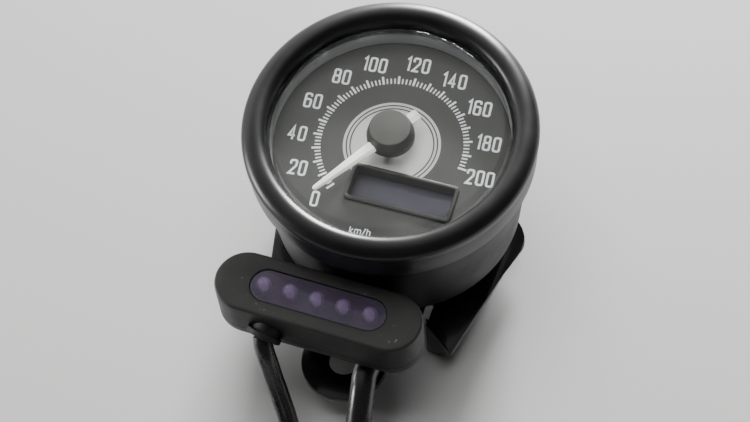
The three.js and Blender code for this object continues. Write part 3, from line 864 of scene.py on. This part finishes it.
def display_ring(narrower, corner, z):
    """A ring of points along the display's rounded outline."""
    w = (DISPLAY["width"] - narrower) / 2
    h = (DISPLAY["height"] - narrower) / 2
    outline = fillet(rectangle(w, h), corner, steps=6)
    return spun([(x, y, z) for x, y in outline], DIAL_TURN, DISPLAY["x"], DISPLAY["y"])


def cut_for_display(piece, narrower, corner, low):
    outline = [display_ring(narrower, corner, z) for z in (low, 1)]
    cut(piece, cutter_from(loft(outline)))


def printed_ring(name, inner, outer, low, high, ink):
    """A ring of ink on the dial, cut away where the display is."""
    profile = [(inner, low), (outer, low), (outer, high), (inner, high)]
    cut_for_display(object_from(name, turned(profile), ink), -0.5, 1.3, -1)


def add_dial_centre():
    """The silver disc with two dark lines round it."""
    printed_ring("dial_disc", 0.9, 9.97, PRINT_LOW, 0.03, PRINT_SILVER)
    printed_ring("dial_line_1", 9.27 - 0.14, 9.27 + 0.14, 0.02, 0.045, PRINT_LINE)
    printed_ring("dial_line_2", 8.52 - 0.14, 8.52 + 0.14, 0.02, 0.045, PRINT_LINE)


def add_dial():
    profile = fillet([(1.6, -0.8), (24.8, -0.8), (24.8, 0), (1.6, 0)], 0.08)
    dial = object_from("dial_plate", turned(profile), DIAL_INK, "dial")
    cut_for_display(dial, 0.9, 0.9, -2)


# ---- Display ----
def add_display():
    outside = [(0, 1.2, 0.02), (0, 1.2, 0.62), (0.1, 1.17, 0.74), (0.3, 1.1, 0.8)]
    inside = [(1.3, 0.75, 0.8), (1.45, 0.7, 0.74), (1.6, 0.65, 0.55), (1.75, 0.6, -2.1), (1.0, 0.9, -2.1)]
    rings = [display_ring(*level) for level in outside + inside]
    surround = loft(rings, closed=True)
    object_from("display_bezel", surround, DISPLAY_FRAME, "display_frame")
    rings = [display_ring(*level) for level in [(0, 0.4, -4), (0, 0.4, -2.5), (0.4, 0.3, -2.3)]]
    object_from("display_screen", loft(rings), DISPLAY_PANEL, "display_module")


# ---- Pointer ----
BAR_LOW = 4.3
BAR_SIDE = 4.62  # the top of its upright sides
BAR_RIDGE = 5.16
RIDGE_FALL = 18  # the ridge falls towards the tip from here


def bar_ring(x, half, side, share, top):
    """A six-cornered section of the pointer: upright sides and a top that is share of its width."""
    left = [(x, half, BAR_LOW), (x, half, side), (x, half * share, top)]
    return [(x, -half, BAR_LOW), *left, (x, -half * share, top), (x, -half, side)]


def add_pointer():
    """A tapered bar with a ridge along it and a rounded tip, and a short clear tail."""
    stations = [(2, 2.7), (6, 2.45), (19, 1.1), (19.4, 1.0), (19.62, 0.76), (19.76, 0.4), (19.8, 0.12)]
    rings = []
    for x, width in stations:
        top = BAR_RIDGE - max(x - RIDGE_FALL, 0) * 0.2
        rings.append(bar_ring(x, width / 2, BAR_SIDE, 0.55, top))
    bar = moved(loft(rings), spun, REST_ANGLE)
    object_from("pointer_bar", bar, NEEDLE_WHITE, "pointer", NEEDLE, sharp=20)
    stations = [(-2, 2.6), (-6.6, 2.4), (-6.95, 2.25), (-7.1, 1.8)]
    tail = loft([bar_ring(x, width / 2, 4.85, 0.3, 5.05) for x, width in stations])
    tail = moved(tail, spun, REST_ANGLE)
    object_from("pointer_tail", tail, TAIL_CLEAR, body=NEEDLE, sharp=20)
    strips = [ribbon([(-4, y), (-6.7, y * 0.9)], 0.42, low=4.2, high=4.29) for y in (-0.75, 0.8)]
    ribs = moved(joined(*strips), spun, REST_ANGLE)
    object_from("pointer_tail_ribs", ribs, NEEDLE_WHITE, body=NEEDLE)


def add_hub():
    side = [(4.9, 3.3), (4.88, 4.6), (4.2, 6.98), (0.05, 7.12)]
    side = fillet(side, [0, 1.4, 0.32, 0], closed=False, steps=10)
    bottom = [(0.05, 4.12), (4.0, 4.1), (4.2, 3.31)]
    dome = turned([*bottom, *side], segments=96, closed=False)
    object_from("hub_dome", dome, HUB_GREY, "hub_cap", NEEDLE)


# ---- Rear case and its fasteners ----
def add_rear_case():
    floor = [(0.05, CASE_FLOOR), (15, CASE_FLOOR), (15.3, -28), (19, -28)]
    wall = [(19.2, CASE_FLOOR), (21.5, -28.1), (24.3, -26.2), (26, -23), (28.2, -0.9), (26.4, -0.9)]
    inside = [(26.4, -4), (24.4, -22.4), (22, -26), (0.05, -26.4)]
    radii = [0, 0.15, 0.15, 0.15, 0, 2.5, 3, 3.5, 0.35, 0, 0, 0, 0, 0]
    profile = fillet([*floor, *wall, *inside], radii, closed=False)
    object_from("case_shell", turned(profile, closed=False), CASE_BLACK, "rear_case")


def polar_ring(radii, z):
    """A ring of points about the Z axis from the radius of each."""
    turn = 2 * pi / len(radii)
    return [(r * cos(k * turn), r * sin(k * turn), z) for k, r in enumerate(radii)]


def threaded(radius, low, high, pitch=0.8, depth=0.27, taper=0.5):
    """A screw thread: rings whose radius follows a helix, and a tapered lower end."""
    rings = []
    count = round((high - low) / pitch * 8)
    for i in range(count + 1):
        z = low + (high - low) * i / count
        crest = radius - (1 - min(1.0, (z - low) / taper)) * 0.35
        waves = [abs(((z / pitch - k / SMALL) % 1) * 2 - 1) for k in range(SMALL)]
        rings.append(polar_ring([crest - depth * (1 - wave) for wave in waves], z))
    return loft(rings)


def hexagon_nut(across, low, high, bore):
    """A hexagonal nut with turned chamfers on both faces."""
    segments = 96
    chamfer = 0.45
    corner, flat = across / sqrt(3), across / 2 - 0.1
    sides = []
    for k in range(segments):
        off = (2 * pi * k / segments + pi / 6) % (pi / 3) - pi / 6
        sides.append(across / 2 / cos(off))
    levels = ((low, flat), (low + chamfer, corner), (high - chamfer, corner), (high, flat))
    rings = [polar_ring([min(side, limit) for side in sides], z) for z, limit in levels]
    rings += [circle(bore, z, segments=segments) for z in (high, low)]
    return loft(rings, closed=True)


def add_studs():
    top = PLATE_TOP - SHEET - 0.3  # of the washer
    damper_ring = fillet([(2.8, -29.7), (6.5, -29.7), (6.5, -28.7), (2.8, -28.7)], [0, 0.3, 0.3, 0])
    washer_ring = fillet([(2.8, top - 1), (5, top - 1), (5, top), (2.8, top)], [0, 0.25, 0.1, 0])
    for sign, side in SIDES:
        x = sign * STUD_X
        bolt = moved(threaded(2.5, FLOOR, CASE_FLOOR - 0.05), spun, 0, x, STUD_Y)
        object_from(f"stud_thread_{side}", bolt, ZINC, f"stud_{side}", sharp=50)
        damper = turned(damper_ring, x, STUD_Y, SMALL)
        object_from(f"damper_ring_{side}", damper, RUBBER, f"damper_{side}")
        washer = turned(washer_ring, x, STUD_Y, SMALL)
        object_from(f"washer_disc_{side}", washer, ZINC, f"washer_{side}")
        nut = moved(hexagon_nut(8, top - 5.3, top - 1.3, 2.45), spun, 0, x, STUD_Y)
        object_from(f"nut_body_{side}", nut, ZINC, f"nut_{side}", sharp=25)


# ---- Bracket ----
BEND_X = 22.5  # where the ears start to curl
BEND_RADIUS = 6


def bracket_outline():
    half = [(0, 14), (15.5, 14), (20.4, 11)]
    half += arc_points(22, 1.7, 5.3, 74, -14, 18)
    half += [(23.9, -13.5), (20.7, -27.4), (19.9, -27.4), (13.4, -22.9), (13.7, -22.4)]
    half += arc_points(12.85, -18.45, 0.85, 0, 180, 10)
    half += [(12, -24), (9, -29.5)]
    half += arc_points(0, TAB_Y, TAB_RADIUS, 14.3, -90, 24)
    other = [(-x, y) for x, y in half[1:-1]]
    return [*half, *reversed(other)]


def bent(x, y, z):
    """Curls the sheet's two ears down, keeping its thickness. The long straight edges stay flat."""
    share = eased(y, -12, -3)
    reach = (abs(x) - BEND_X) * share
    if reach <= 0:
        return x, y, z
    side = copysign(1, x)
    depth = PLATE_TOP - z
    angle = asin(min(reach / BEND_RADIUS, 0.95))
    radius = BEND_RADIUS - depth
    spare = abs(x) - BEND_X - reach
    across = BEND_X + spare + radius * sin(angle)
    return side * across, y, PLATE_TOP - BEND_RADIUS + radius * cos(angle)


def add_foot(name, corners):
    """A convex block from its corners, with softened edges."""
    shape = bmesh.new()
    for corner in corners:
        shape.verts.new(corner)
    bmesh.ops.convex_hull(shape, input=shape.verts)
    bmesh.ops.dissolve_limit(shape, angle_limit=0.02, verts=shape.verts, edges=shape.edges)
    bmesh.ops.bevel(shape, geom=shape.edges[:], offset=0.25, segments=3, profile=0.5, affect="EDGES")
    mesh = bpy.data.meshes.new(name)
    shape.to_mesh(mesh)
    shape.free()
    dress(name, move_mesh(mesh), FOOT_BLACK)


def add_bracket():
    hole = [(x, y) for x, y, _ in circle(TAB_HOLE, 0, 0, TAB_Y, 64)]
    steps = [BEND_X + 0.01 + i * 0.6 for i in range(8)]
    bends = [side * x for x in steps for side in (-1, 1)]
    sheet = plate([bracket_outline(), hole], PLATE_TOP - SHEET, PLATE_TOP, edge=0.22, cuts=bends)
    dress("bracket_sheet", move_mesh(sheet, bent), STEEL_BLACK, "bracket", sharp=40)
    for side, name in SIDES:
        root = [(13.5, -22.9, PLATE_TOP - 0.2), (19.9, -27, PLATE_TOP - 0.2)]
        face = [*root, (18.2, -25.2, FLOOR), (14.2, -25.2, FLOOR)]
        corners = [(x + dx, y + dy, z) for x, y, z in face for dx, dy in ((0, 0), (-0.6, 1.8))]
        add_foot(f"bracket_foot_{name}", [(side * x, y, z) for x, y, z in corners])


# ---- Indicator box ----
LAMP_TOP = LAMP_BOX["top"]
LAMP_SHIFT = (-0.8, 1.1)  # the lamps' middle from the box's


def pill_rings(size, levels):
    """Rings of the box's or its window's outline, each from an inset and a height."""
    x, y = LAMP_BOX["x"], size["y"]
    return [stadium(size["length"] - 2 * i, size["width"] - 2 * i, z, x, y) for i, z in levels]


def window_rings(levels):
    """Rings of the window's outline, each from an inset and a depth below the box's top."""
    return pill_rings(LAMP_WINDOW, [(inset, LAMP_TOP - depth) for inset, depth in levels])


def add_housing():
    foot = LAMP_TOP - LAMP_BOX["height"]
    levels = [(1.7, 0.5), (1.6, 0.05), (1.5, 0), (0.35, 0), (0.1, 0.1), (0, 0.35)]
    seam = [(0, 2.2), (0.05, 2.26), (0.05, 2.36), (0, 2.42)]
    levels = [(inset, foot + rise) for inset, rise in levels + seam]
    crown = 0.55
    levels += [(crown - c, LAMP_TOP - crown + s) for c, s in arc_points(0, 0, crown, 0, 90, 8)]
    step = [(-0.4, 0), (-0.22, 0.06), (-0.15, 0.25), (-0.15, 0.9), (0.4, 0.9), (0.42, 5)]
    box = loft(pill_rings(LAMP_BOX, levels) + window_rings(step))
    object_from("lamp_housing", box, HOUSING_BLACK, "indicator_housing", sharp=30)
    well = [(0.44, 0.95), (0.6, 0.95), (0.9, 4.2), (0.9, 4.5), (0.5, 4.5)]
    well = loft(window_rings(well), closed=True)
    floor = loft(window_rings([(0.9, 4.6), (0.9, 4.3)]))
    object_from("lamp_well", joined(well, floor), LAMP_WELL)


def add_window():
    levels = [(0.05, 0.4), (0, 0.36), (0, 0.25), (0.06, 0.14), (0.2, 0.1)]
    object_from("lamp_window", loft(window_rings(levels)), WINDOW_VIOLET, "indicator_lens")


def add_lamps():
    """Clear domes with a chip cup inside each. The cup's glow is a painted highlight, so it sits up and to
    the left of the dome's middle.
    """
    seat = LAMP_TOP - 5.7
    y = LAMP_BOX["y"] + LAMP_SHIFT[1]
    for i in range(5):
        x = LAMP_BOX["x"] + (i - 2) * LAMP_PITCH + LAMP_SHIFT[0]
        dome = arc_points(0, LAMP_TOP - 2.2, 1.7, 0, 90, 14)[:-1]
        flange = [(0.02, seat), (1.95, seat), (1.95, seat + 0.7), (1.7, seat + 0.8)]
        lamp = turned([*flange, *dome, (0.02, LAMP_TOP - 0.5)], x, y, SMALL, closed=False)
        object_from(f"lamp_dome_{i + 1}", lamp, LAMP_VIOLET, f"lamp_{i + 1}")
        core = arc_points(0, LAMP_TOP - 2.1, 1.05, 0, 90, 14)[:-1]
        core = [(0.02, seat + 0.3), (0.7, seat + 0.3), *core, (0.02, LAMP_TOP - 1.05)]
        # The glowing cup is set up and to the left as a painted highlight.
        glow = turned(core, x - 0.2, y + 0.2, SMALL, closed=False)
        object_from(f"lamp_core_{i + 1}", glow, LAMP_PAINTED_HIGHLIGHT)


def add_grommet():
    """A thin flange that stands off the wall on a neck, square to the way it was pulled in."""
    profile = [(2.05, -2.6), (2.9, -2.6), (2.8, 0.9), (3.75, 0.9), (3.75, 2.0), (2.5, 2.1), (2.05, 2.1)]
    collar = turned(fillet(profile, [0, 0, 0.1, 0.2, 0.4, 0.2, 0.1]), segments=SMALL)
    collar = moved(collar, aimed, Vector((-0.2, -0.87, -0.45)).normalized(), -12.9, -41.6, -11.3)
    object_from("grommet_collar", collar, RUBBER, "indicator_grommet")


def add_gland():
    """The harness's sleeve at the case wall, with rings round it so that it bends with the cable."""
    profile = [(2.45, 0), (4.2, 0), (4.2, 1.8)]
    for i in range(5):
        y = 2.2 + i * 1.35
        r = 3.95 - i * 0.12
        profile += [(r - 0.5, y), (r - 0.5, y + 0.35), (r, y + 0.5), (r, y + 1.1)]
    profile += [(3.2, 9.2), (2.45, 9.2)]
    x, _, z = HARNESS["route"][0]
    sleeve = turned(fillet(profile, 0.12, steps=3), segments=SMALL)
    sleeve = moved(sleeve, aimed, (0, -1, 0), x, -27, z)
    object_from("harness_sleeve", sleeve, RUBBER, "harness_gland")


# ---- CAD pieces that keep their shape ----
SCREWS = ["board_screw_1", "board_screw_2", "board_screw_3", "stand_screw_1", "stand_screw_2"]
FINISHES = {
    RUBBER: ["lens_gasket"],
    ZINC: ["pointer_shaft", *SCREWS],
    WHITE_PLASTIC: ["light_guide", "board_connector"],
    BOARD_GREEN: ["circuit_board", "indicator_board"],
    CASE_BLACK: ["stepper_motor", "controller_chip", "indicator_cover", "indicator_stand"],
    FOAM: ["adhesive_pad"],
    CABLE_BLACK: ["inner_lead"],
}
for finish, names in FINISHES.items():
    for name in names:
        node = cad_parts[name]
        node.data.materials.clear()
        node.data.materials.append(finish)


add_bezel()
add_front_case()
add_lens()
add_trim()
add_dial()
add_scale()
add_dial_centre()
add_display()
add_pointer()
add_hub()
add_rear_case()
add_studs()
add_bracket()
add_housing()
add_window()
add_lamps()
add_grommet()
add_gland()


# ---- Floor and light ----
FLOOR_REACH = 3.0  # metres from the middle to each side
ROOM = 0.06  # how bright the room is away from its patches
# Soft bright patches: a direction, how many degrees each spreads and how bright it is.
PATCHES = [
    ((-0.4, 0.5, 0.77), 60, 0.5),
    ((-0.15, 0.95, 0.25), 30, 1.0),
    ((-0.85, 0.35, 0.2), 40, 1.3),
    ((-0.95, -0.22, 0.1), 24, 1.8),
]


def add_floor():
    material, nodes, link = shader_tree("floor_paper")
    shader = fill(nodes["Principled BSDF"], Base_Color=(0.36, 0.36, 0.357, 1), Roughness=0.75)
    fibre = fill(nodes.new("ShaderNodeTexNoise"), Scale=900)
    relief = fill(nodes.new("ShaderNodeBump"), Strength=0.05, Distance=0.0002)
    link(fibre.outputs["Fac"], relief.inputs["Height"])
    link(relief.outputs["Normal"], shader.inputs["Normal"])
    mesh = bpy.data.meshes.new("floor")
    height = cad_low.z - 0.1 * MM
    corners = [(x, y, height) for x, y in rectangle(FLOOR_REACH, FLOOR_REACH)]
    mesh.from_pydata(corners, [], [(0, 1, 2, 3)])
    mesh.materials.append(material)
    floor = in_scene("floor", mesh)


def add_softbox(name, place, width, height, power, mirrored=True, lit=True):
    """A soft rectangular light, aimed at the dial. One that isn't mirrored doesn't show in gloss, and one
    that isn't lit shows only there."""
    light = bpy.data.lights.new(name, "AREA")
    light.shape = "RECTANGLE"
    light.size = width * MM
    light.size_y = height * MM
    light.energy = power
    holder = in_scene(name, light)
    holder.location = at(*place)
    holder.rotation_mode = "QUATERNION"
    holder.rotation_quaternion = (at(0, -10, 0) - at(*place)).to_track_quat("-Z", "Y")
    holder.visible_glossy = mirrored
    holder.visible_diffuse = lit


def add_world():
    """A dim room with soft bright patches."""
    world = bpy.data.worlds.new("studio")
    world.use_nodes = True
    nodes = world.node_tree.nodes
    link = world.node_tree.links.new
    direction = nodes.new("ShaderNodeTexCoord").outputs["Generated"]
    total = None
    for towards, spread, strength in PATCHES:
        way = nodes.new("ShaderNodeVectorMath")
        way.operation = "DOT_PRODUCT"
        way.inputs[1].default_value = Vector(towards).normalized()
        link(direction, way.inputs[0])
        glow = nodes.new("ShaderNodeMapRange")
        glow.interpolation_type = "SMOOTHSTEP"
        fill(glow, From_Min=cos(radians(spread)), From_Max=1.0, To_Min=0, To_Max=strength)
        link(way.outputs["Value"], glow.inputs["Value"])
        sum_up = nodes.new("ShaderNodeMath")
        sum_up.operation = "ADD"
        link(glow.outputs["Result"], sum_up.inputs[0])
        sum_up.inputs[1].default_value = ROOM
        if total:
            link(total, sum_up.inputs[1])
        total = sum_up.outputs["Value"]
    link(total, nodes["Background"].inputs["Strength"])
    fill(nodes["Background"], Color=(1, 0.995, 0.985, 1))
    bpy.context.scene.world = world


add_floor()
add_softbox("back_softbox", (-50, 540, 145), 180, 200, 15)
add_softbox("left_softbox", (-420, -130, 40), 160, 110, 1.2, lit=False)
add_softbox("dial_key", (-60, 120, 620), 480, 480, 6.6, mirrored=False)
add_world()
